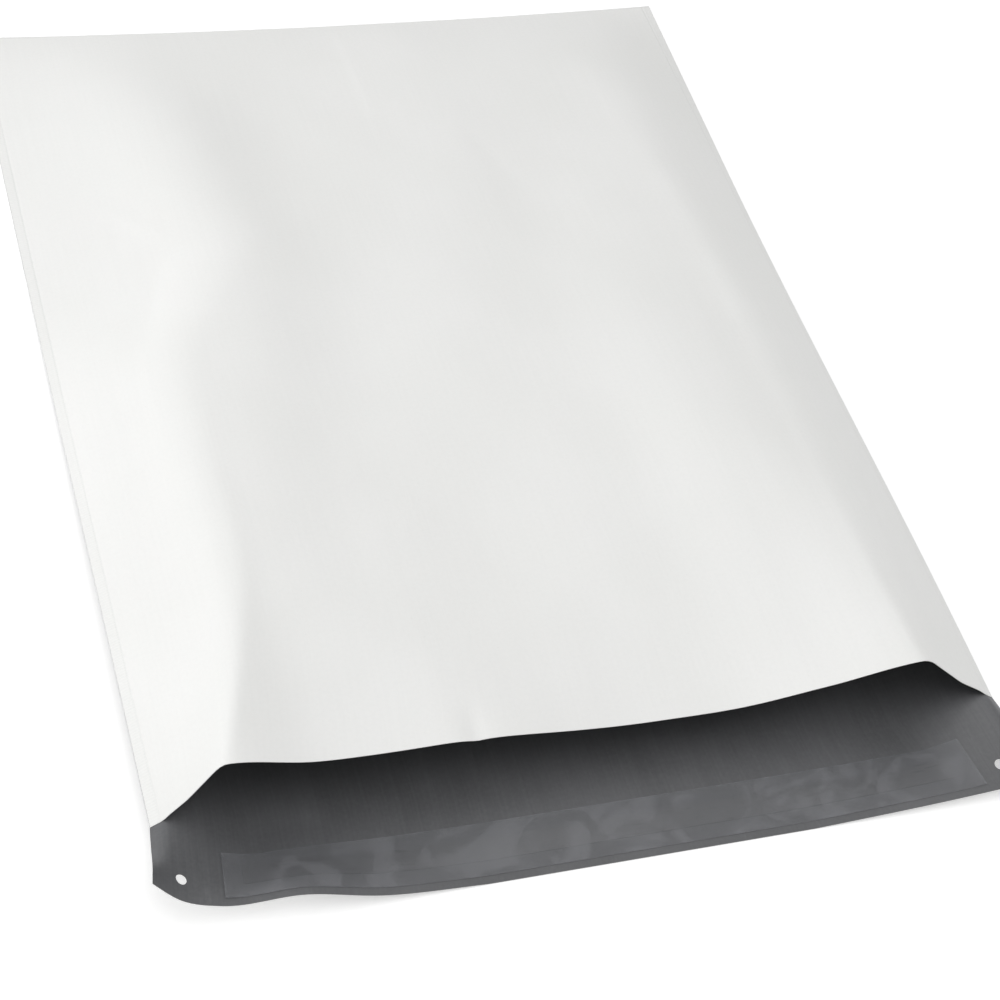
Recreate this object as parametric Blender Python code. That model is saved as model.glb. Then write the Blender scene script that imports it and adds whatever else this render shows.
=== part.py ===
"""A poly mailer lying on its back panel with its mouth held open.

One sheet of film is folded at the closed end and welded along both sides. The back panel runs on
past the mouth as the lip, which carries the adhesive strip under its release liner.
X runs across the mailer, Y from the lip to the closed end, Z up. The origin is the centre of the
rectangle that the mailer covers, on the surface that it lies on.
"""
import math

import bmesh
import bpy
import numpy as np

# Flat sizes of the film
WIDTH = 0.4826
LENGTH = 0.6096
LIP = 0.0508
FILM = 0.0005
GAP = 0.0003
WELD = 0.006

# How the open mailer stands
MOUTH_WIDTH = 0.444
LIP_FLARE_LEFT = 0.006
LIP_FLARE_RIGHT = 0.010
SEAM_LIFT = 0.012
FLAT_SHARE = 0.3
BACK_CURL = 0.050
PEAK = 0.047
PEAK_GROWTH = 0.6
CLOSED_BOW = 0.006
BOW_SHARE = 0.2

# Width of a flank, and its shares from the closed end to the mouth
FLANK = 0.060
LEFT_FLANK_SHARES = (
    (0.0, 1.10), (0.2, 1.37), (0.4, 1.73), (0.53, 1.07), (0.65, 1.15), (0.82, 1.07), (1.0, 0.57),
)
RIGHT_FLANK_SHARES = ((0.0, 1.0), (0.3, 0.80), (0.7, 0.83), (1.0, 0.90))
ROUNDING_SHARES = ((0.0, 0.9), (0.3, 0.5), (0.7, 0.25), (1.0, 0.07))

# The mouth's upper edge: share of the width from the left, share of the peak's height
MOUTH_RIM_SHARES = (
    (0.0, 1.0), (0.08, 1.0), (0.17, 0.84), (0.33, 0.79), (0.46, 0.66),
    (0.56, 0.60), (0.66, 0.63), (0.76, 0.78), (0.88, 0.98), (1.0, 1.0),
)
RIM_SHARE = 0.55

# Broad swells and hollows of the front panel: place and half size across as shares of the width,
# place and half size along as shares of the length, and rise as a share of the peak
SWELL_SHARES = (
    (-0.176, 0.114, 0.45, 0.30, -0.085),
    (0.145, 0.176, 0.42, 0.22, 0.064),
    (0.041, 0.228, 0.15, 0.10, -0.053),
    (-0.062, 0.249, 0.80, 0.15, 0.053),
)

# How far the lip's free edge is lifted, in shares of its highest lift and of the lifted stretch
LIP_LIFT = 0.033
LIP_CURL = 0.160
LEFT_LIP_SHARES = ((0.0, 1.0), (0.075, 0.67), (0.19, 0.49), (0.44, 0.45), (0.69, 0.24), (1.0, 0.0))
RIGHT_LIP_SHARES = ((0.0, 0.18), (0.375, 0.12), (0.81, 0.0))

HOLE_DIAMETER = 0.006
HOLE_INSET = 0.017
HOLE_CUT = 0.03
STRIP_THICKNESS = 0.0003
ADHESIVE_WIDTH = 0.012
LINER_WIDTH = 0.028
STRIP_INSET = 0.018
ADHESIVE_MARGIN = 0.044
LINER_MARGIN = 0.034

# Grid of the film: columns across each half, and shares of each panel's length
SIDE_COLUMNS = 3
HALF_COLUMNS = 10
COLUMN_SPREAD = 1.4
FRONT_ROWS = (
    0.0, 0.004, 0.015, 0.035, 0.065, 0.10, 0.15, 0.20, 0.26, 0.32, 0.38, 0.44,
    0.50, 0.56, 0.62, 0.68, 0.74, 0.80, 0.85, 0.90, 0.94, 0.975, 1.0,
)
BACK_ROWS = (0.0, 0.05, 0.15, 0.25, 0.35, 0.45, 0.55, 0.65, 0.75, 0.85, 0.93, 1.0)
FOLD_STEPS = 6
SECTION_SAMPLES = 400

FOLD_RADIUS = FILM + GAP / 2
Y_CLOSED = (LENGTH + LIP) / 2
Y_MOUTH = Y_CLOSED - LENGTH
STRIP_MIDDLE = LIP - STRIP_INSET
ADHESIVE_ROWS = (STRIP_MIDDLE + ADHESIVE_WIDTH / 2, STRIP_MIDDLE - ADHESIVE_WIDTH / 2)
LINER_ROWS = (STRIP_MIDDLE + LINER_WIDTH / 2, *ADHESIVE_ROWS, STRIP_MIDDLE - LINER_WIDTH / 2)
LIP_ROWS = (LIP, *LINER_ROWS, LINER_ROWS[-1] / 2)


def clear_scene():
    for old in list(bpy.data.objects):
        bpy.data.objects.remove(old, do_unlink=True)


def curve(points, at):
    """A smooth curve through the given points, level beyond its ends."""
    places = np.array([point[0] for point in points])
    values = np.array([point[1] for point in points])
    slopes = np.gradient(values, places)
    at = np.clip(at, places[0], places[-1])
    i = np.clip(np.searchsorted(places, at) - 1, 0, len(places) - 2)
    step = places[i + 1] - places[i]
    t = (at - places[i]) / step
    value = values[i] * (1 + 2 * t) * (1 - t) ** 2 + values[i + 1] * t**2 * (3 - 2 * t)
    return value + step * (slopes[i] * t * (1 - t) ** 2 - slopes[i + 1] * t**2 * (1 - t))


def ease(at):
    at = np.clip(at, 0.0, 1.0)
    return at * at * (3 - 2 * at)


def soft_min(a, b, rounding):
    """The smaller of two heights, with the corner between them rounded off."""
    overlap = np.maximum(rounding - np.abs(a - b), 0.0)
    return np.minimum(a, b) - overlap**2 / (4 * rounding)


def half_width(v):
    """Half of the mailer's width at a share v of the way from the closed end to the mouth."""
    return (WIDTH + (MOUTH_WIDTH - WIDTH) * v) / 2


def seam_height(v):
    return SEAM_LIFT * ease((v - FLAT_SHARE) / (1 - FLAT_SHARE))


def bow(x, v):
    """How far the closed end's middle is drawn in towards the mouth."""
    across = 1 - np.clip(2 * x / WIDTH, -1, 1) ** 2
    return CLOSED_BOW * across * (1 - ease(v / BOW_SHARE))


def along(x, v):
    """Y at a share v of the way from the closed end to the mouth."""
    start = Y_CLOSED - FOLD_RADIUS
    return start - v * (start - Y_MOUTH) - bow(x, v)


def back_height(x, v):
    """The back panel lies flat, and curls up beside its two welds."""
    from_weld = half_width(v) - np.abs(x) - WELD
    return seam_height(v) * (1 - ease(from_weld / BACK_CURL))


def front_height(x, v):
    """The front panel rises from its welds in two flanks and sags between them."""
    half = half_width(v)
    rounding = curve(ROUNDING_SHARES, v)
    left = (x + half - WELD) / (FLANK * curve(LEFT_FLANK_SHARES, v) - WELD)
    right = (half - WELD - x) / (FLANK * curve(RIGHT_FLANK_SHARES, v) - WELD)
    rim = curve(MOUTH_RIM_SHARES, (x + half) / (2 * half))
    top = 1 - (1 - rim) * ease(1 - (1 - v) / RIM_SHARE)
    peak = PEAK * v**PEAK_GROWTH
    rise = peak * np.maximum(soft_min(soft_min(left, right, rounding), top, rounding), 0.0)
    for across, half_across, share, half_along, height in SWELL_SHARES:
        spread = ((x / WIDTH - across) / half_across) ** 2 + ((v - share) / half_along) ** 2
        rise = rise + height * np.exp(-spread) * rise
    return seam_height(v) + 2 * FOLD_RADIUS + rise


def across_front(s, v):
    """X on the front panel at a distance s from its middle, measured along the film."""
    x = np.linspace(-half_width(v), half_width(v), SECTION_SAMPLES)
    z = front_height(x, v)
    film = np.concatenate(([0.0], np.cumsum(np.hypot(np.diff(x), np.diff(z)))))
    flank = film[-1] - 2 * WELD
    inner = WELD + (s + WIDTH / 2 - WELD) / (WIDTH - 2 * WELD) * flank
    edge_left = s + WIDTH / 2
    edge_right = film[-1] - (WIDTH / 2 - s)
    place = np.where(edge_left < WELD, edge_left, np.where(WIDTH / 2 - s < WELD, edge_right, inner))
    return float(np.interp(place, film, x))


def across_back(s, v):
    """X on the back panel: the welded bands keep their width and the rest is shared out."""
    inner = (half_width(v) - WELD) / (WIDTH / 2 - WELD)
    edge = WIDTH / 2 - abs(s)
    if edge < WELD:
        return math.copysign(half_width(v) - edge, s)
    return s * inner


def lip_point(s, w):
    """A point of the lip's underside, s from its middle and w from the mouth."""
    share = w / LIP
    half = half_width(1.0) + (LIP_FLARE_LEFT if s < 0 else LIP_FLARE_RIGHT) * share
    x = across_back(s, 1.0) * half / half_width(1.0)
    from_end = half - abs(x)
    free_edge = LIP_LIFT * curve(LEFT_LIP_SHARES if x < 0 else RIGHT_LIP_SHARES, from_end / LIP_CURL)
    mouth = back_height(across_back(s, 1.0), 1.0)
    turn = ease(share)
    z = mouth * (1 - turn) + free_edge * turn
    drawn_in = z**2 / (2 * LIP)
    return x, Y_MOUTH - w + drawn_in * share, z


def film_rows():
    """The rows of the film from the lip's free edge round the fold to the mouth's upper edge."""
    rows = [("lip", distance) for distance in LIP_ROWS]
    rows += [("back", share) for share in reversed(BACK_ROWS)]
    rows += [("fold", math.pi * step / FOLD_STEPS) for step in range(1, FOLD_STEPS)]
    rows += [("front", share) for share in FRONT_ROWS]
    return rows


def film_columns():
    """Distances from the film's middle, closest together over the flanks."""
    side = np.linspace(WELD, LINER_MARGIN, SIDE_COLUMNS + 1)
    shares = np.linspace(0.0, 1.0, HALF_COLUMNS + 1) ** COLUMN_SPREAD
    inner = ADHESIVE_MARGIN + (WIDTH / 2 - ADHESIVE_MARGIN) * shares
    left = [float(distance) - WIDTH / 2 for distance in (0.0, *side, *inner[:-1])]
    return left + [0.0] + [-s for s in reversed(left)]


def film_point(s, panel, at):
    """A point of the film's outer face."""
    if panel == "lip":
        return lip_point(s, at)
    if panel == "back":
        x = across_back(s, at)
        return x, along(x, at), back_height(x, at)
    if panel == "fold":
        x = across_back(s, 0.0)
        y = along(x, 0.0) + FOLD_RADIUS * math.sin(at)
        return x, y, FOLD_RADIUS * (1 - math.cos(at))
    x = across_front(s, at)
    return x, along(x, at), front_height(x, at)


def sheet_mesh(name, rows):
    """A mesh of one layer through rows of points."""
    bm = bmesh.new()
    verts = [[bm.verts.new(point) for point in row] for row in rows]
    for low, high in zip(verts, verts[1:]):
        for i in range(len(low) - 1):
            bm.faces.new((low[i], high[i], high[i + 1], low[i + 1]))
    mesh = bpy.data.meshes.new(name)
    bm.to_mesh(mesh)
    bm.free()
    return mesh


def principled(name, colour, roughness, alpha=1.0):
    material = bpy.data.materials.new(name)
    material.use_nodes = True
    shader = material.node_tree.nodes["Principled BSDF"]
    shader.inputs["Base Color"].default_value = (*colour, 1.0)
    shader.inputs["Roughness"].default_value = roughness
    shader.inputs["Metallic"].default_value = 0.0
    shader.inputs["Alpha"].default_value = alpha
    return material


def add_object(name, mesh, material=None):
    item = bpy.data.objects.new(name, mesh)
    bpy.context.scene.collection.objects.link(item)
    if material:
        mesh.materials.append(material)
    return item


def add_solidify(item, thickness):
    """Gives a sheet its thickness, on the side away from its face normals."""
    solidify = item.modifiers.new("thickness", "SOLIDIFY")
    solidify.thickness = thickness
    solidify.offset = -1.0
    solidify.use_even_offset = True


def add_boolean(item, operation, tool):
    boolean = item.modifiers.new(tool.name, "BOOLEAN")
    boolean.operation = operation
    boolean.solver = "EXACT"
    boolean.object = tool
    tool.hide_render = True
    tool.display_type = "WIRE"


def weld_filler(name, side):
    """The joined film between the two layers of a side weld, reaching halfway into each layer."""
    bm = bmesh.new()
    bite = FILM / 2
    ends = (-bite / 2, *[share * LENGTH for share in FRONT_ROWS[2:-1]], LENGTH - GAP)
    sections = []
    for distance in ends:
        v = min(max(distance / LENGTH, 0.0), 1.0)
        outer = side * (half_width(v) - GAP)
        inner = side * (half_width(v) - WELD + GAP)
        y = along(outer, v) + max(-distance, 0.0)
        low = seam_height(v) + FILM - bite
        high = seam_height(v) + FILM + GAP + bite
        corners = ((outer, y, low), (inner, y, low), (inner, y, high), (outer, y, high))
        sections.append([bm.verts.new(corner) for corner in corners])
    for near, far in zip(sections, sections[1:]):
        for i in range(4):
            bm.faces.new((near[i], near[(i + 1) % 4], far[(i + 1) % 4], far[i]))
    bm.faces.new(sections[0])
    bm.faces.new(sections[-1])
    bmesh.ops.recalc_face_normals(bm, faces=bm.faces)
    mesh = bpy.data.meshes.new(name)
    bm.to_mesh(mesh)
    bm.free()
    return add_object(name, mesh)


def hole_cutter(name, side):
    s = side * (WIDTH / 2 - HOLE_INSET)
    x, y, z = lip_point(s, LIP - HOLE_INSET)
    bm = bmesh.new()
    bmesh.ops.create_cone(
        bm, cap_ends=True, segments=20, radius1=HOLE_DIAMETER / 2, radius2=HOLE_DIAMETER / 2, depth=HOLE_CUT
    )
    mesh = bpy.data.meshes.new(name)
    bm.to_mesh(mesh)
    bm.free()
    cutter = add_object(name, mesh)
    cutter.location = (x, y, z)
    return cutter


def mailer_film():
    columns = film_columns()
    rows = [[film_point(s, panel, at) for s in columns] for panel, at in film_rows()]
    mesh = sheet_mesh("mailer_film", rows)
    film = add_object("mailer_film", mesh, principled("white_film", (0.86, 0.86, 0.85), 0.35))
    add_solidify(film, FILM)
    for label, side in (("left", -1), ("right", 1)):
        add_boolean(film, "UNION", weld_filler(f"{label}_weld", side))
    for label, side in (("left", -1), ("right", 1)):
        add_boolean(film, "DIFFERENCE", hole_cutter(f"{label}_hole", side))
    return film


def lip_strip(name, side, distances, underside, material):
    """A thin strip that follows the lip's inner face at a height above the lip's underside."""
    columns = [s for s in film_columns() if abs(s) <= WIDTH / 2 - side + GAP]
    rows = []
    for w in distances:
        points = [lip_point(s, w) for s in columns]
        rows.append([(x, y, z + underside) for x, y, z in points])
    strip = add_object(name, sheet_mesh(name, rows), material)
    add_solidify(strip, STRIP_THICKNESS)
    return strip


def smooth(item):
    item.data.shade_smooth()
    item.data.set_sharp_from_angle(angle=math.radians(40))


def build():
    clear_scene()
    film = mailer_film()
    adhesive = principled("clear_adhesive", (0.20, 0.20, 0.19), 0.15, 0.6)
    liner = principled("clear_liner", (0.45, 0.46, 0.47), 0.25, 0.5)
    above_lip = FILM + GAP
    above_adhesive = above_lip + STRIP_THICKNESS + GAP
    strip = lip_strip("adhesive_strip", ADHESIVE_MARGIN, ADHESIVE_ROWS, above_lip, adhesive)
    cover = lip_strip("release_liner", LINER_MARGIN, LINER_ROWS, above_adhesive, liner)
    for item in (film, strip, cover):
        smooth(item)


build()
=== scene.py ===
"""The looks of an open poly mailer: white film outside, dark film inside, and a self-seal lip."""
import math

import bpy
import numpy as np
from mathutils import Matrix, Vector


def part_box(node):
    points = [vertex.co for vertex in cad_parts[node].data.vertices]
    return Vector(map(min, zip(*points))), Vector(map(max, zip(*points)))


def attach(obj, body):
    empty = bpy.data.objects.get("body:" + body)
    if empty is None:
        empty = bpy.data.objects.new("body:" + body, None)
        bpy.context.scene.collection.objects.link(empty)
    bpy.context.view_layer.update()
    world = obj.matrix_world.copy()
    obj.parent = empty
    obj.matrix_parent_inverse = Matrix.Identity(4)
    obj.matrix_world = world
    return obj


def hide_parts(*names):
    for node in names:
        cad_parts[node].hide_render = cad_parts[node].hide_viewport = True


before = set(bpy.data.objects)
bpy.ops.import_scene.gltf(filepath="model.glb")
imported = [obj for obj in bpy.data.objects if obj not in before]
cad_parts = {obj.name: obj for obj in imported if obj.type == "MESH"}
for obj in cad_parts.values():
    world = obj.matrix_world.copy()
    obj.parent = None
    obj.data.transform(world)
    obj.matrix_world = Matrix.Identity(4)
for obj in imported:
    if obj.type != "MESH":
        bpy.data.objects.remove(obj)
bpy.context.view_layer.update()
film_low, film_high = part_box("mailer_film")

# Flat sizes of the film, its thickness, the gap between its layers, and the width of a weld
WIDTH = 0.4826
LIP = 0.0508
LENGTH = film_high[1] - film_low[1] - LIP
FILM = 0.00025
GAP = 0.00008
WELD = 0.006

# How the open mailer stands. Shares run along the length, from the closed end to the mouth
MOUTH_WIDTH = 0.444
LIP_FLARE_LEFT = 0.006
LIP_FLARE_RIGHT = 0.010
SEAM_LIFT = 0.012
FLAT_SHARE = 0.3
BACK_CURL = 0.050
PEAK = 0.047
PEAK_GROWTH = 0.6
CLOSED_BOW = 0.006
BOW_SHARE = 0.2
BAND_TILT = 0.85
STEEPEST_BAND = 0.75

# Width of a flank, its shares and its upper corner's rounding, from the closed end to the mouth
FLANK = 0.060
LEFT_FLANK_SHARES = (
    (0.0, 1.39), (0.2, 1.60), (0.4, 1.79), (0.53, 1.11), (0.65, 1.02), (0.82, 1.09), (1.0, 0.52),
)
RIGHT_FLANK_SHARES = ((0.0, 0.98), (0.3, 0.73), (0.7, 0.705), (1.0, 0.875))
LEFT_ROUNDING_SHARES = ((0.0, 0.39), (0.3, 0.295), (0.7, 0.28), (1.0, 0.12))
RIGHT_ROUNDING_SHARES = ((0.0, 0.89), (0.3, 0.63), (0.7, 0.505), (0.9, 0.285), (1.0, 0.11))

# The mouth's upper edge: share of the width from the left, share of the peak's height
MOUTH_RIM_SHARES = (
    (0.0, 0.896), (0.08, 0.989), (0.17, 0.750), (0.33, 0.799), (0.46, 0.664),
    (0.56, 0.598), (0.66, 0.596), (0.76, 0.779), (0.88, 1.054), (1.0, 0.881),
)
# How far in from the mouth this edge shapes the front panel, as a share of the length
RIM_SHARE = 0.55

# Broad swells and hollows of the front panel: place and half size across as shares of the width,
# place and half size along as shares of the length, and rise as a share of the peak
SWELL_SHARES = (
    (-0.157, 0.096, 0.504, 0.358, -0.120),
    (0.144, 0.180, 0.418, 0.224, -0.037),
    (0.039, 0.230, 0.160, 0.098, -0.094),
    (-0.060, 0.252, 0.812, 0.173, -0.071),
    (-0.269, 0.090, 0.379, 0.144, 0.072),
    (-0.296, 0.111, 0.189, 0.127, 0.252),
    (0.227, 0.073, 0.671, 0.174, 0.137),
    (0.161, 0.060, 0.338, 0.058, -0.015),
    (0.287, 0.113, 0.107, 0.070, 0.246),
    (-0.279, 0.070, 0.829, 0.228, 0.141),
    (0.099, 0.127, 0.857, 0.104, 0.169),
    (0.092, 0.088, 0.060, 0.219, 0.297),
    (0.361, 0.052, 0.719, 0.241, -0.128),
    (-0.201, 0.103, 0.396, 0.149, 0.211),
    (0.407, 0.072, 0.052, 0.207, 0.207),
)

# The lip's free edge: its lift, the stretch from each end that is lifted, and its shape as shares
# of that stretch and of the lift
LIP_LIFT = 0.033
LIP_CURL = 0.160
LEFT_LIP_SHARES = (
    (0.0, 1.02), (0.075, 0.73), (0.19, 0.525), (0.44, 0.475), (0.69, 0.16), (1.0, 0.0),
)
RIGHT_LIP_SHARES = ((0.0, 0.32), (0.375, 0.15), (0.81, 0.0))

# Rise, as a share of the peak, at which the film is slack enough for all its small shapes, and at
# which it no longer follows the tilt of the weld band
SLACK_SHARE = 0.3
BAND_FADE_SHARE = 0.5

# Slack ripples of the film: wave length, height, direction in degrees, phase
RIPPLES = (
    (0.131, 0.00036, 12.0, 0.4),
    (0.089, 0.00020, -24.0, 2.1),
    (0.061, 0.00010, 38.0, 4.4),
    (0.043, 0.00005, -61.0, 1.3),
)

# Shallow puckers beside the welds: wave length along the weld, height, reach from the weld, phase
PUCKERS = (
    (0.041, 0.00028, 0.028, 0.7),
    (0.023, 0.00010, 0.016, 2.9),
)

# Soft creases of the front panel: start and end in metres from the closed end's left corner, across
# and along, then half width and depth, below 0 for a raised line
CREASES = (
    ((0.050, 0.180), (0.092, 0.225), 0.0045, -0.0006),
    ((0.085, 0.240), (0.060, 0.330), 0.010, 0.0012),
    ((0.300, 0.140), (0.318, 0.210), 0.012, 0.0006),
    ((0.175, 0.590), (0.172, 0.634), 0.0055, 0.0013),
)
CREASE_HALF_RUN = 0.45
CREASE_END_POWER = 4
CREASE_SIDE_POWER = 1.5

# Two punched holes, their distances from the side edges and from the lip's free edge
HOLE_DIAMETER = 0.0055
LEFT_HOLE_INSET = 0.013
RIGHT_HOLE_INSET = 0.0205
HOLE_EDGE_INSET = 0.013
HOLE_SIDES = 32
HOLE_CUT = 0.03
# Half the distance between the points that give the lip's slope at a hole
HOLE_PROBE = 0.002

# Adhesive strip and release liner on the lip, their margins measured from the side edges
ADHESIVE_WIDTH = 0.012
LINER_WIDTH = 0.028
STRIP_INSET = 0.018
ADHESIVE_MARGIN = 0.044
LINER_MARGIN = 0.034
ADHESIVE_THICKNESS = 0.0002
LINER_THICKNESS = 0.0001
LAYER_GAP = 0.00012
LINER_END_LIFT = 0.0006
STRIP_END_REACH = 0.012
STRIP_COLUMNS = 200
STRIP_ROWS = 14

# Fused beads along the welds, proud of the film's edge
BEAD_RADIUS = 0.00036
BEAD_PROUD = 0.00010
BEAD_STEPS = 140
BEAD_BEVEL_RESOLUTION = 3

# Grid of the film
COLUMNS = 170
FRONT_ROWS = 150
FRONT_SPREAD = 1.35
BACK_ROWS = 40
LIP_ROWS = 15
FOLD_STEPS = 8
SECTION_SAMPLES = 900
FILM_SMOOTH_ANGLE = 50.0
BEAD_SMOOTH_ANGLE = 60.0

FOLD_RADIUS = FILM + GAP / 2
Y_CLOSED = film_high[1]
Y_MOUTH = Y_CLOSED - LENGTH
BLANK_LENGTH = LIP + 2 * LENGTH

# The film's relief, gloss and painted shade, in metres on the flat blank: pitch of the weld's ribs,
# how far its band fades on both sides of its inner edge, and half widths of the line beside the
# band and of the fold
RIB_PITCH = 0.0016
BAND_FADE_INSIDE = 0.0008
BAND_FADE_BEYOND = 0.0004
WELD_LINE = 0.0010
FOLD_LINE = 0.0025

# Stretch of the patterns that run along the film, across, along and through it
DRAWN_STRETCH = (1.0, 0.012, 1.0)
CRINKLE_STRETCH = (1.0, 0.45, 1.0)
SCUFF_STRETCH = (1.0, 0.25, 1.0)
GLUE_EDGE_STRETCH = (1.0, 6.0, 1.0)
LINER_WAVE_STRETCH = (1.0, 0.35, 1.0)

# Range of the noise over which drawn lines and peel come into sight
MARK_FADE = (0.35, 0.70)

# Colours of each finish: its darker patches, its lighter patches, and its marks. The white film's
# mark colour also paints shade, and the dark film's also paints sheen
WHITE_FILM_TINTS = ((0.853, 0.855, 0.839, 1.0), (0.864, 0.865, 0.852, 1.0))
WHITE_FILM_MARKS_AND_SHADE = (0.62, 0.625, 0.62, 1.0)
DARK_FILM_TINTS = ((0.096, 0.098, 0.102, 1.0), (0.124, 0.126, 0.132, 1.0))
DARK_FILM_MARKS_AND_SHEEN = (0.19, 0.192, 0.20, 1.0)
ADHESIVE_TINTS = ((0.088, 0.089, 0.091, 1.0), (0.112, 0.113, 0.116, 1.0))
LINER_TINTS = ((0.24, 0.245, 0.26, 1.0), (0.31, 0.315, 0.335, 1.0))
BEAD_TINTS = ((0.70, 0.705, 0.70, 1.0), (0.80, 0.80, 0.79, 1.0))
FLOOR_TINTS = ((0.80, 0.80, 0.80, 1.0), (0.82, 0.82, 0.82, 1.0))
WHITE = (1.0, 1.0, 1.0, 1.0)

# Height of each finish's relief, in metres
FILM_RELIEF = 0.00026
ADHESIVE_RELIEF = 0.00006
LINER_RELIEF = 0.00016
BEAD_RELIEF = 0.0001

# Camera, as read from the perspective of the mailer's corners
CAMERA_PLACE = (-0.31093, -0.70815, 0.79260)
CAMERA_RIGHT = (0.96218, -0.24129, 0.12644)
CAMERA_UP = (0.10742, 0.76261, 0.63787)
LENS_MM = 67.455
SENSOR_MM = 36.0
SHIFT = (0.09966, -0.01858)

# The floor, which shines less near the mailer so that its shadow shows
FLOOR_SIZE = 14.0
FLOOR_DROP = 0.0003
NEAR_LIFT = 0.40
NEAR_RADIUS = 0.5
FAR_RADIUS = 1.6

WORLD_LIGHT = 0.37

# Each lamp's place, size, watts and whether gloss shows it
LAMPS = (
    ("left_softbox", (-1.65, 0.45, 0.45), (1.8, 0.6), 14.6, False),
    ("top_softbox", (0.1, -0.3, 2.1), (2.0, 2.0), 26.6, True),
)


def curve(points, at):
    """A smooth curve through the given points, level beyond its ends."""
    places = np.array([point[0] for point in points])
    values = np.array([point[1] for point in points])
    slopes = np.gradient(values, places)
    at = np.clip(at, places[0], places[-1])
    i = np.clip(np.searchsorted(places, at) - 1, 0, len(places) - 2)
    step = places[i + 1] - places[i]
    t = (at - places[i]) / step
    value = values[i] * (1 + 2 * t) * (1 - t) ** 2 + values[i + 1] * t**2 * (3 - 2 * t)
    return value + step * (slopes[i] * t * (1 - t) ** 2 - slopes[i + 1] * t**2 * (1 - t))


def ease(at):
    """From 0 to 1 and level at both ends."""
    at = np.clip(at, 0.0, 1.0)
    return at * at * (3 - 2 * at)


def soft_min(a, b, rounding):
    """The smaller of two heights, with the corner between them rounded off."""
    overlap = np.maximum(rounding - np.abs(a - b), 0.0)
    return np.minimum(a, b) - overlap**2 / (4 * rounding)


def half_width(v):
    """Half of the mailer's width at a share v of the way from the closed end to the mouth."""
    return (WIDTH + (MOUTH_WIDTH - WIDTH) * v) / 2


def seam_height(v):
    """The side welds lie flat, then rise towards the mouth."""
    return SEAM_LIFT * ease((v - FLAT_SHARE) / (1 - FLAT_SHARE))


def bow(x, v):
    """How far the closed end's middle is drawn in towards the mouth."""
    across = 1 - np.clip(2 * x / WIDTH, -1, 1) ** 2
    return CLOSED_BOW * across * (1 - ease(v / BOW_SHARE))


def along(x, v):
    """Y at a share v of the way from the closed end to the mouth."""
    start = Y_CLOSED - FOLD_RADIUS
    return start - v * (start - Y_MOUTH) - bow(x, v)


def flank_slope(x, v):
    """How steeply the front panel rises from the weld nearest to x."""
    share = np.where(x < 0, curve(LEFT_FLANK_SHARES, v), curve(RIGHT_FLANK_SHARES, v))
    return PEAK * v**PEAK_GROWTH / (FLANK * share - WELD)


def band_height(x, v):
    """The welded band tilts about its outer edge, nearly as steeply as its flank."""
    tilt = np.minimum(BAND_TILT * flank_slope(x, v), STEEPEST_BAND)
    return seam_height(v) + tilt * np.clip(half_width(v) - np.abs(x), 0.0, WELD)


def back_height(x, v):
    """The back panel lies flat, and curls up beside its two welds."""
    from_weld = half_width(v) - np.abs(x) - WELD
    return band_height(x, v) * (1 - ease(from_weld / BACK_CURL))


def ripples(x, y):
    """Long low waves of slack film."""
    total = np.zeros_like(x)
    for length, height, direction, phase in RIPPLES:
        turn = math.radians(direction)
        run = x * math.cos(turn) + y * math.sin(turn)
        total = total + height * np.sin(2 * math.pi * run / length + phase)
    return total


def puckers(x, y, v):
    """Small waves that run along the welds and fade away from them."""
    from_weld = np.maximum(half_width(v) - np.abs(x) - WELD, 0.0)
    total = np.zeros_like(x)
    for length, height, reach, phase in PUCKERS:
        wave = np.sin(2 * math.pi * y / length + phase + np.sign(x))
        total = total + height * wave * (from_weld / reach) * np.exp(1 - from_weld / reach)
    return total


def creases(x, y):
    """Soft V-shaped valleys along short lines, fading at both ends."""
    total = np.zeros_like(x)
    for start, end, half, depth in CREASES:
        ax, ay = start[0] - WIDTH / 2, Y_CLOSED - start[1]
        bx, by = end[0] - WIDTH / 2, Y_CLOSED - end[1]
        reach = math.hypot(bx - ax, by - ay)
        ux, uy = (bx - ax) / reach, (by - ay) / reach
        run = (x - ax) * ux + (y - ay) * uy
        off = (x - ax) * -uy + (y - ay) * ux
        fade = np.exp(-((run / reach - 0.5) / CREASE_HALF_RUN) ** CREASE_END_POWER)
        total = total - depth * fade * np.exp(-np.abs(off / half) ** CREASE_SIDE_POWER)
    return total


def front_height(x, v):
    """The front panel rises from its welds in two flanks and sags between them."""
    half = half_width(v)
    left_rounding = curve(LEFT_ROUNDING_SHARES, v)
    right_rounding = curve(RIGHT_ROUNDING_SHARES, v)
    left = (x + half - WELD) / (FLANK * curve(LEFT_FLANK_SHARES, v) - WELD)
    right = (half - WELD - x) / (FLANK * curve(RIGHT_FLANK_SHARES, v) - WELD)
    rim = curve(MOUTH_RIM_SHARES, (x + half) / (2 * half))
    top = 1 - (1 - rim) * ease(1 - (1 - v) / RIM_SHARE)
    peak = PEAK * v**PEAK_GROWTH
    share = soft_min(soft_min(top, left, left_rounding), right, right_rounding)
    rise = peak * np.maximum(share, 0.0)
    for across, half_across, down, half_down, height in SWELL_SHARES:
        spread = ((x / WIDTH - across) / half_across) ** 2 + ((v - down) / half_down) ** 2
        rise = rise + height * np.exp(-spread) * rise
    y = along(x, v)
    slack = np.clip(rise / (SLACK_SHARE * PEAK), 0, 1)
    rise = rise + slack * (ripples(x, y) + creases(x, y) + puckers(x, y, v))
    rise = np.maximum(rise, 0.0)
    low = seam_height(v)
    band = (band_height(x, v) - low) * (1 - ease(rise / (BAND_FADE_SHARE * PEAK)))
    return low + band + 2 * FOLD_RADIUS + rise


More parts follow.
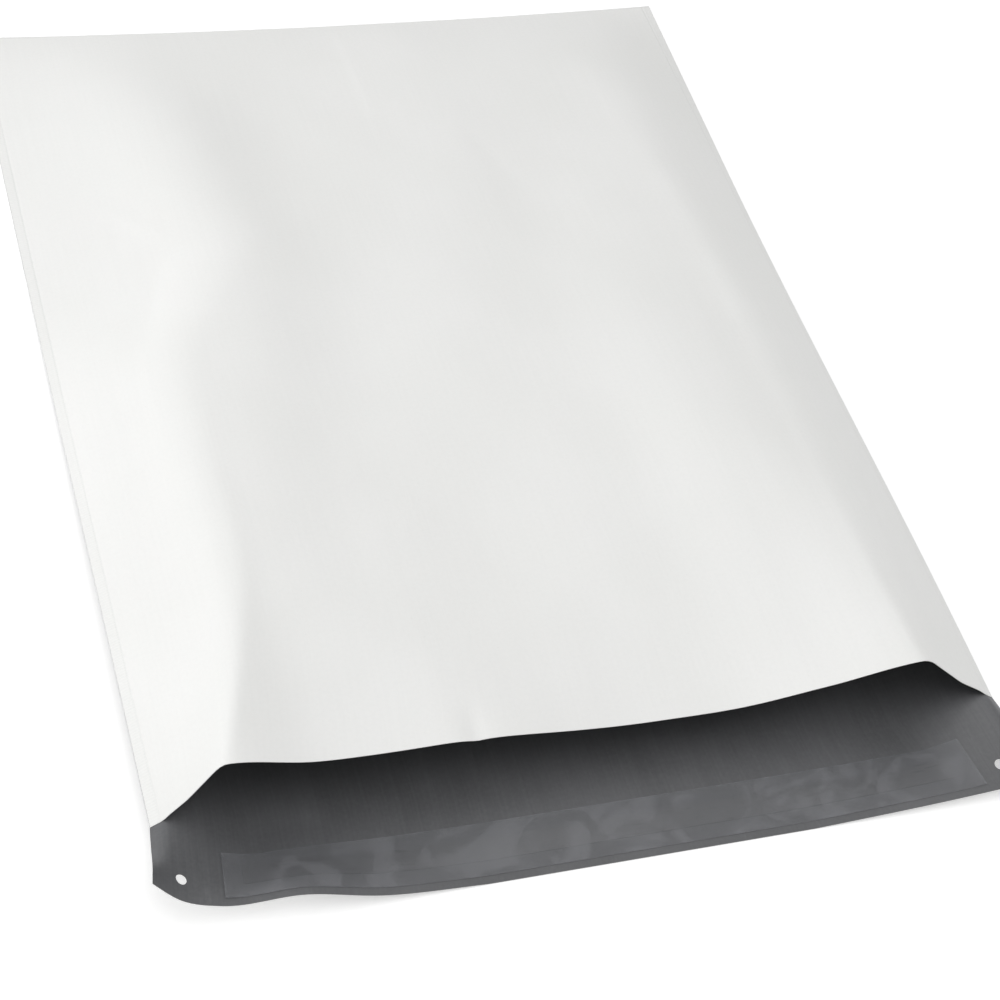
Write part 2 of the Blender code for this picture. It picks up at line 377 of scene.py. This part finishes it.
def across_front(s, v):
    """X on the front panel at distances s from its middle, measured along the film."""
    x = np.linspace(-half_width(v), half_width(v), SECTION_SAMPLES)
    z = front_height(x, v)
    film = np.concatenate(([0.0], np.cumsum(np.hypot(np.diff(x), np.diff(z)))))
    share = (s + WIDTH / 2 - WELD) / (WIDTH - 2 * WELD)
    inner = WELD + share * (film[-1] - 2 * WELD)
    left = s + WIDTH / 2
    right = WIDTH / 2 - s
    place = np.where(left < WELD, left, np.where(right < WELD, film[-1] - right, inner))
    return np.interp(place, film, x)


def across_back(s, v):
    """X on the back panel: the welded bands keep their width and the rest is shared out."""
    inner = s * (half_width(v) - WELD) / (WIDTH / 2 - WELD)
    edge = WIDTH / 2 - np.abs(s)
    return np.where(edge < WELD, np.sign(s) * (half_width(v) - edge), inner)


def lip_points(s, w):
    """Points of the lip's underside, s from its middle and w from the mouth."""
    share = w / LIP
    flare = np.where(s < 0, LIP_FLARE_LEFT, LIP_FLARE_RIGHT)
    half = half_width(1.0) + flare * share
    x = across_back(s, 1.0) * half / half_width(1.0)
    from_end = (half - np.abs(x)) / LIP_CURL
    left = curve(LEFT_LIP_SHARES, from_end)
    right = curve(RIGHT_LIP_SHARES, from_end)
    free_edge = LIP_LIFT * np.where(x < 0, left, right)
    mouth = back_height(across_back(s, 1.0), 1.0)
    turn = ease(share)
    z = mouth * (1 - turn) + free_edge * turn
    y = Y_MOUTH - w + z**2 / (2 * LIP) * share
    return np.stack((x, y, z), axis=-1)


def film_columns():
    """Distances from the film's middle, with a column at each weld's inner edge."""
    inner = np.linspace(-WIDTH / 2 + WELD, WIDTH / 2 - WELD, COLUMNS - 3)
    band = (-WIDTH / 2, -WIDTH / 2 + WELD / 2)
    return np.concatenate((band, inner, [-band[1], -band[0]]))


def film_grid(s):
    """Rows of points of the film's outer face, and each row's distance along the flat blank."""
    rows, marks = [], []
    for w in np.linspace(LIP, 0.0, LIP_ROWS)[:-1]:
        rows.append(lip_points(s, w))
        marks.append(LIP - w)
    for v in np.linspace(1.0, 0.0, BACK_ROWS):
        x = across_back(s, v)
        rows.append(np.stack((x, along(x, v), back_height(x, v)), axis=-1))
        marks.append(LIP + (1 - v) * LENGTH)
    x = across_back(s, 0.0)
    for step in range(1, FOLD_STEPS):
        turn = math.pi * step / FOLD_STEPS
        y = along(x, 0.0) + FOLD_RADIUS * math.sin(turn)
        z = np.full_like(x, FOLD_RADIUS * (1 - math.cos(turn)))
        rows.append(np.stack((x, y, z), axis=-1))
        marks.append(LIP + LENGTH)
    for v in np.linspace(0.0, 1.0, FRONT_ROWS) ** FRONT_SPREAD:
        x = across_front(s, v)
        rows.append(np.stack((x, along(x, v), front_height(x, v)), axis=-1))
        marks.append(LIP + (1 + v) * LENGTH)
    return np.array(rows), np.array(marks)


def sheet(name, rows, marks, s):
    """One layer of quads through rows of points, with its flat place as a UV map."""
    count, across = rows.shape[:2]
    index = np.arange(count * across).reshape(count, across)
    quads = np.stack((index[:-1, :-1], index[1:, :-1], index[1:, 1:], index[:-1, 1:]), axis=-1)
    mesh = bpy.data.meshes.new(name)
    mesh.from_pydata(rows.reshape(-1, 3).tolist(), [], quads.reshape(-1, 4).tolist())
    flat = np.empty((count, across, 2), np.float32)
    flat[..., 0] = s[None, :] / WIDTH + 0.5
    flat[..., 1] = marks[:, None] / BLANK_LENGTH
    corners = np.empty(len(mesh.loops), np.int32)
    mesh.loops.foreach_get("vertex_index", corners)
    uv = mesh.uv_layers.new(name="flat")
    uv.data.foreach_set("uv", flat.reshape(-1, 2)[corners].ravel())
    piece = bpy.data.objects.new(name, mesh)
    bpy.context.scene.collection.objects.link(piece)
    return piece


def select_only(piece):
    bpy.ops.object.select_all(action="DESELECT")
    piece.select_set(True)
    bpy.context.view_layer.objects.active = piece


def apply_modifier(piece, kind, **settings):
    modifier = piece.modifiers.new(kind.lower(), kind)
    for key, value in settings.items():
        setattr(modifier, key, value)
    select_only(piece)
    bpy.ops.object.modifier_apply(modifier=modifier.name)


def smooth(piece, degrees):
    select_only(piece)
    bpy.ops.object.shade_smooth_by_angle(angle=math.radians(degrees))


class Field:
    """A number, place or colour that varies over a surface. Operators on numbers add Math nodes."""

    def __init__(self, finish, socket):
        self.finish = finish
        self.socket = socket

    def _math(self, operation, *values):
        return self.finish.add("ShaderNodeMath", {"operation": operation}, dict(enumerate(values)))

    def __add__(self, other):
        return self._math("ADD", self, other)

    def __sub__(self, other):
        return self._math("SUBTRACT", self, other)

    def __rsub__(self, other):
        return self._math("SUBTRACT", other, self)

    def __mul__(self, other):
        return self._math("MULTIPLY", self, other)

    def __pow__(self, other):
        return self._math("POWER", self, other)

    __radd__ = __add__
    __rmul__ = __mul__

    def __abs__(self):
        return self._math("ABSOLUTE", self)

    def sine(self):
        return self._math("SINE", self)

    def larger(self, other):
        return self._math("MAXIMUM", self, other)

    def fade(self, start, end):
        """0 at start and 1 at end, smooth between them."""
        limits = {"From Min": start, "From Max": end}
        settings = {"interpolation_type": "SMOOTHSTEP"}
        return self.finish.add("ShaderNodeMapRange", settings, {"Value": self, **limits})


class Finish:
    """The nodes of a material or of the world. Fields are linked to the sockets of its shader."""

    def __init__(self, owner, shader):
        owner.use_nodes = True
        self.tree = owner.node_tree
        self.shader = self.tree.nodes[shader]

    def add(self, kind, settings=None, inputs=None, output=0):
        """A node with its settings and inputs. What comes back is one of its outputs."""
        node = self.tree.nodes.new(kind)
        for key, value in (settings or {}).items():
            setattr(node, key, value)
        for key, value in (inputs or {}).items():
            self.feed(node.inputs[key], value)
        return Field(self, node.outputs[output])

    def feed(self, socket, value):
        if isinstance(value, Field):
            self.tree.links.new(value.socket, socket)
        else:
            socket.default_value = value

    def place(self):
        return self.add("ShaderNodeTexCoord", output="Object")

    def flat(self):
        """The place on the flat blank, in metres."""
        uv = self.add("ShaderNodeUVMap", {"uv_map": "flat"})
        return self.scaled(uv, (WIDTH, BLANK_LENGTH, 1.0))

    def scaled(self, vector, factors):
        return self.add("ShaderNodeVectorMath", {"operation": "MULTIPLY"}, {0: vector, 1: factors})

    def axes(self, vector):
        first = self.add("ShaderNodeSeparateXYZ", inputs={0: vector})
        return [Field(self, output) for output in first.socket.node.outputs]

    def noise(self, vector, per_metre, detail=3.0, roughness=0.5, distortion=0.0):
        inputs = {
            "Vector": vector, "Scale": per_metre, "Detail": detail,
            "Roughness": roughness, "Distortion": distortion,
        }
        return self.add("ShaderNodeTexNoise", inputs=inputs)

    def mix(self, share, low, high):
        inputs = {"Factor": share, 6: low, 7: high}
        return self.add("ShaderNodeMix", {"data_type": "RGBA"}, inputs, output=2)

    def set(self, socket, value):
        self.feed(self.shader.inputs[socket], value)

    def bump(self, height, metres):
        normal = self.add("ShaderNodeBump", inputs={"Distance": metres, "Height": height})
        self.set("Normal", normal)


def new_material(name, gloss=0.5, **constants):
    """A material whose constants are set on the shader's own sockets."""
    material = bpy.data.materials.new(name)
    finish = Finish(material, "Principled BSDF")
    finish.set("Specular IOR Level", gloss)
    for socket, value in constants.items():
        finish.set(socket.replace("_", " "), value)
    return material, finish


def film_fields(finish):
    """What both faces of the film share: places on the blank, drawn lines, peel and crinkle."""
    flat = finish.flat()
    across, down, _ = finish.axes(flat)
    from_side = WIDTH / 2 - abs(across - WIDTH / 2)
    band = 1 - from_side.fade(WELD - BAND_FADE_INSIDE, WELD + BAND_FADE_BEYOND)
    lines = finish.noise(
        finish.scaled(flat, DRAWN_STRETCH), per_metre=700.0, detail=4.0, roughness=0.6
    )
    peel = finish.noise(flat, per_metre=480.0, roughness=0.55)
    crinkle = finish.noise(
        finish.scaled(flat, CRINKLE_STRETCH), per_metre=48.0, detail=5.0, roughness=0.55,
        distortion=0.6,
    )
    return flat, down, from_side, band, lines, peel, crinkle


def outer_film():
    """White film: satin, with faint drawn lines, fine peel, gel specks and ribbed welds. Painted
    shade darkens the peel, the rib hollows, the weld band, the line beside it and the fold.
    """
    material, finish = new_material("white_film", gloss=0.25)
    flat, down, from_side, band, lines, peel, crinkle = film_fields(finish)
    cloud = finish.noise(flat, per_metre=9.0)
    specks = finish.noise(flat, per_metre=1500.0, detail=0.0, roughness=0.0).fade(0.80, 0.86)
    weld_line = 1 - abs(from_side - WELD).fade(0.0, WELD_LINE)
    fold = 1 - abs(down - (LIP + LENGTH)).fade(0.0, FOLD_LINE)
    ribs = ((down * (2 * math.pi / RIB_PITCH)).sine() * 0.5 + 0.5) * band
    tint = finish.mix(cloud.fade(0.35, 0.65), *WHITE_FILM_TINTS)
    # Tone of drawn lines and gel specks, and painted shade in place of the peel's fine relief
    marks = lines.fade(*MARK_FADE) * 0.035 + peel.fade(*MARK_FADE) * 0.05 + specks * 0.22
    # Painted shade: darker rib hollows, a darker weld band, and darker lines in the groove beside
    # the band and along the fold
    marks_and_painted_shade = marks + ribs * 0.08 + band * 0.02 + weld_line * 0.10 + fold * 0.20
    finish.set("Base Color", finish.mix(marks_and_painted_shade, tint, WHITE_FILM_MARKS_AND_SHADE))
    finish.set("Roughness", 0.38 + cloud * 0.10 + peel * 0.06 + lines * 0.04 - band * 0.07)
    relief = lines * 0.10 + peel * 0.12 + crinkle * 0.9 + ribs * 0.25 + specks * 0.2
    finish.bump(relief - weld_line * 0.4 - fold * 0.4, FILM_RELIEF)
    return material


def inner_film():
    """Dark grey film: drawn lines, fine peel with painted sheen, soft scuffs and the same crinkle
    as outside.
    """
    material, finish = new_material("dark_film", gloss=0.36)
    flat, _, _, band, lines, peel, crinkle = film_fields(finish)
    cloud = finish.noise(flat, per_metre=14.0, detail=4.0, roughness=0.55)
    scuffs = finish.noise(
        finish.scaled(flat, SCUFF_STRETCH), per_metre=70.0, detail=6.0, roughness=0.7,
        distortion=1.2,
    ).fade(0.58, 0.78)
    tint = finish.mix(cloud.fade(0.3, 0.7), *DARK_FILM_TINTS)
    # Lighter drawn lines and scuffs, and painted sheen in place of the peel's fine relief
    marks = lines.fade(*MARK_FADE) * 0.14 + peel.fade(*MARK_FADE) * 0.12 + scuffs * 0.30
    finish.set("Base Color", finish.mix(marks, tint, DARK_FILM_MARKS_AND_SHEEN))
    finish.set("Roughness", 0.42 + cloud * 0.12 + scuffs * 0.12 + peel * 0.05 - band * 0.06)
    finish.bump(lines * 0.12 + peel * 0.16 + crinkle * 1.1 + scuffs * 0.1, FILM_RELIEF)
    return material


def adhesive_finish():
    """Clear glue on dark film: wet-looking, with soft blobs."""
    material, finish = new_material("clear_adhesive")
    place = finish.place()
    blobs = finish.noise(place, per_metre=160.0, detail=4.0, roughness=0.6, distortion=0.8)
    edge = finish.noise(finish.scaled(place, GLUE_EDGE_STRETCH), per_metre=90.0)
    finish.set("Base Color", finish.mix(blobs, *ADHESIVE_TINTS))
    finish.set("Roughness", 0.22 + edge * 0.16)
    finish.bump(blobs * 0.4 + edge * 0.2, ADHESIVE_RELIEF)
    return material


def liner_finish():
    """Clear release film, cloudy where it touches what lies under it."""
    material, finish = new_material("clear_liner")
    place = finish.place()
    waves = finish.noise(
        finish.scaled(place, LINER_WAVE_STRETCH), per_metre=60.0, detail=2.0, roughness=0.45,
        distortion=0.6,
    )
    contact = finish.noise(place, per_metre=45.0, distortion=1.0).fade(0.40, 0.64)
    finish.set("Base Color", finish.mix(contact, *LINER_TINTS))
    finish.set("Alpha", 0.20 + contact * 0.08 + waves * 0.05)
    finish.set("Roughness", 0.36 + waves * 0.16)
    finish.bump(waves * 0.8 + contact * 0.10, LINER_RELIEF)
    return material


def bead_finish():
    """Fused film: a little darker and glossier, with fine lumps."""
    material, finish = new_material("weld_bead", gloss=0.45)
    place = finish.place()
    lumps = finish.noise(place, per_metre=500.0, roughness=0.6)
    patches = finish.noise(place, per_metre=30.0)
    finish.set("Base Color", finish.mix(patches, *BEAD_TINTS))
    finish.set("Roughness", 0.30 + lumps * 0.2)
    finish.bump(lumps, BEAD_RELIEF)
    return material


def hole_cutter(name, place):
    """A punch through the lip near one of its corners, square to the film there."""
    s = np.array([place])
    w = LIP - HOLE_EDGE_INSET
    centre = lip_points(s, w)[0]
    across = lip_points(s + HOLE_PROBE, w)[0] - lip_points(s - HOLE_PROBE, w)[0]
    down = lip_points(s, w - HOLE_PROBE)[0] - lip_points(s, w + HOLE_PROBE)[0]
    normal = Vector(np.cross(across, down).tolist()).normalized()
    bpy.ops.object.select_all(action="DESELECT")
    bpy.ops.mesh.primitive_cylinder_add(
        vertices=HOLE_SIDES, radius=HOLE_DIAMETER / 2, depth=HOLE_CUT, location=centre.tolist()
    )
    cutter = bpy.context.active_object
    cutter.name = name
    cutter.rotation_mode = "QUATERNION"
    cutter.rotation_quaternion = normal.to_track_quat("Z", "Y")
    return cutter


def mailer_film():
    """The film in one piece: lip, back panel, fold and front panel, with two punched holes."""
    s = film_columns()
    rows, marks = film_grid(s)
    film = sheet("poly_film", rows, marks, s)
    film.data.materials.append(outer_film())
    film.data.materials.append(inner_film())
    apply_modifier(
        film, "SOLIDIFY", thickness=FILM, offset=-1.0, use_even_offset=True, material_offset=1,
        material_offset_rim=0,
    )
    left_hole = LEFT_HOLE_INSET - WIDTH / 2
    right_hole = WIDTH / 2 - RIGHT_HOLE_INSET
    for name, place in (("left_punch", left_hole), ("right_punch", right_hole)):
        cutter = hole_cutter(name, place)
        apply_modifier(film, "BOOLEAN", operation="DIFFERENCE", solver="EXACT", object=cutter)
        bpy.data.objects.remove(cutter, do_unlink=True)
    smooth(film, FILM_SMOOTH_ANGLE)
    return film


def lip_strip(name, margin, width, above, thickness, material, lift=0.0):
    """A thin strip that follows the lip's inner face, its ends lifted if lift is given."""
    half = WIDTH / 2 - margin
    s = np.linspace(-half, half, STRIP_COLUMNS)
    centre = LIP - STRIP_INSET
    distances = np.linspace(centre + width / 2, centre - width / 2, STRIP_ROWS)
    rows = np.array([lip_points(s, w) for w in distances])
    rows[..., 2] += above
    from_end = half - np.abs(s)
    rows[..., 2] += lift * (1 - ease(from_end / STRIP_END_REACH))[None, :]
    strip = sheet(name, rows, LIP - distances, s)
    strip.data.materials.append(material)
    apply_modifier(strip, "SOLIDIFY", thickness=thickness, offset=-1.0, use_even_offset=True)
    smooth(strip, FILM_SMOOTH_ANGLE)
    return strip


def weld_bead(name, side, material):
    """The fused bead along the outer edge of a side weld."""
    shares = np.linspace(0.0, 1.0, BEAD_STEPS)
    path = bpy.data.curves.new(name, "CURVE")
    path.dimensions = "3D"
    path.bevel_depth = BEAD_RADIUS
    path.bevel_resolution = BEAD_BEVEL_RESOLUTION
    path.use_fill_caps = True
    line = path.splines.new("POLY")
    line.points.add(len(shares) - 1)
    for point, v in zip(line.points, shares):
        x = side * (half_width(v) - BEAD_RADIUS + BEAD_PROUD)
        z = seam_height(v) + BEAD_RADIUS
        point.co = (x, float(along(x, v)), z, 1.0)
    bead = bpy.data.objects.new(name, path)
    bpy.context.scene.collection.objects.link(bead)
    select_only(bead)
    bpy.ops.object.convert(target="MESH")
    bead = bpy.context.active_object
    bpy.ops.object.mode_set(mode="EDIT")
    bpy.ops.mesh.select_all(action="SELECT")
    bpy.ops.mesh.remove_doubles(threshold=BEAD_RADIUS / 100)
    bpy.ops.mesh.normals_make_consistent(inside=False)
    bpy.ops.object.mode_set(mode="OBJECT")
    bead.data.materials.append(material)
    smooth(bead, BEAD_SMOOTH_ANGLE)
    return bead


def add_pieces():
    """All pieces of the mailer, each attached to the root body and listed with the node and slot
    that it stands for; the node's CAD part is hidden.
    """
    film = mailer_film()
    above_adhesive = FILM + LAYER_GAP
    above_liner = above_adhesive + ADHESIVE_THICKNESS + LAYER_GAP
    adhesive = lip_strip(
        "glue_strip", ADHESIVE_MARGIN, ADHESIVE_WIDTH, above_adhesive, ADHESIVE_THICKNESS,
        adhesive_finish(),
    )
    liner = lip_strip(
        "peel_liner", LINER_MARGIN, LINER_WIDTH, above_liner, LINER_THICKNESS, liner_finish(),
        lift=LINER_END_LIFT,
    )
    bead = bead_finish()
    beads = [weld_bead("left_weld_bead", -1, bead), weld_bead("right_weld_bead", 1, bead)]
    for piece, node, slot in (
        (film, "mailer_film", "film"),
        (adhesive, "adhesive_strip", "adhesive"),
        (liner, "release_liner", "liner"),
        (beads[0], "mailer_film", "film"),
        (beads[1], "mailer_film", "film"),
    ):
        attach(piece, "root")
        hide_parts(node)


def seen_directly(finish):
    """1 for rays from the camera, and for what gloss and clear film show, and 0 for light rays."""
    rays = [
        finish.add("ShaderNodeLightPath", output=name)
        for name in ("Is Camera Ray", "Is Glossy Ray", "Is Transmission Ray")
    ]
    return rays[0].larger(rays[1]).larger(rays[2])


def add_floor():
    """A plain pale floor that reads white and keeps the mailer's shadow."""
    bpy.ops.object.select_all(action="DESELECT")
    bpy.ops.mesh.primitive_plane_add(size=FLOOR_SIZE, location=(0, 0, -FLOOR_DROP))
    floor = bpy.context.active_object
    floor.name = "floor"
    material, finish = new_material("pale_floor", gloss=0.0, Roughness=1.0, Emission_Strength=1.0)
    place = finish.place()
    grain = finish.noise(place, per_metre=3.0, detail=2.0)
    finish.set("Base Color", finish.mix(grain, *FLOOR_TINTS))
    x, y, _ = finish.axes(place)
    away = ((x * x + y * y) ** 0.5).fade(NEAR_RADIUS, FAR_RADIUS)
    finish.set("Emission Color", seen_directly(finish) * (NEAR_LIFT + (1 - NEAR_LIFT) * away))
    floor.data.materials.append(material)


def add_world():
    """Soft light from all round, and a white backdrop."""
    world = bpy.data.worlds.new("studio")
    finish = Finish(world, "Background")
    finish.set("Color", WHITE)
    finish.set("Strength", seen_directly(finish) * (1 - WORLD_LIGHT) + WORLD_LIGHT)
    bpy.context.scene.world = world


def add_lamp(name, place, size, watts, in_gloss):
    """A softbox that faces the mailer."""
    lamp = bpy.data.lights.new(name, "AREA")
    lamp.shape = "RECTANGLE"
    lamp.size, lamp.size_y = size
    lamp.energy = watts
    item = bpy.data.objects.new(name, lamp)
    bpy.context.scene.collection.objects.link(item)
    item.location = place
    item.rotation_euler = (-Vector(place)).to_track_quat("-Z", "Y").to_euler()
    item.visible_glossy = in_gloss


def add_camera():
    """The photograph's view of the mailer."""
    right = Vector(CAMERA_RIGHT).normalized()
    up = Vector(CAMERA_UP)
    up = (up - right * up.dot(right)).normalized()
    back = right.cross(up)
    camera = bpy.data.cameras.new("camera")
    camera.sensor_width = SENSOR_MM
    camera.lens = LENS_MM
    camera.shift_x, camera.shift_y = SHIFT
    item = bpy.data.objects.new("camera", camera)
    bpy.context.scene.collection.objects.link(item)
    turn = Matrix((right, up, back)).transposed()
    item.matrix_world = Matrix.Translation(CAMERA_PLACE) @ turn.to_4x4()
    bpy.context.scene.camera = item


add_camera()
add_world()
add_floor()
for lamp in LAMPS:
    add_lamp(*lamp)
add_pieces()
bpy.context.scene.view_settings.view_transform = "Standard"
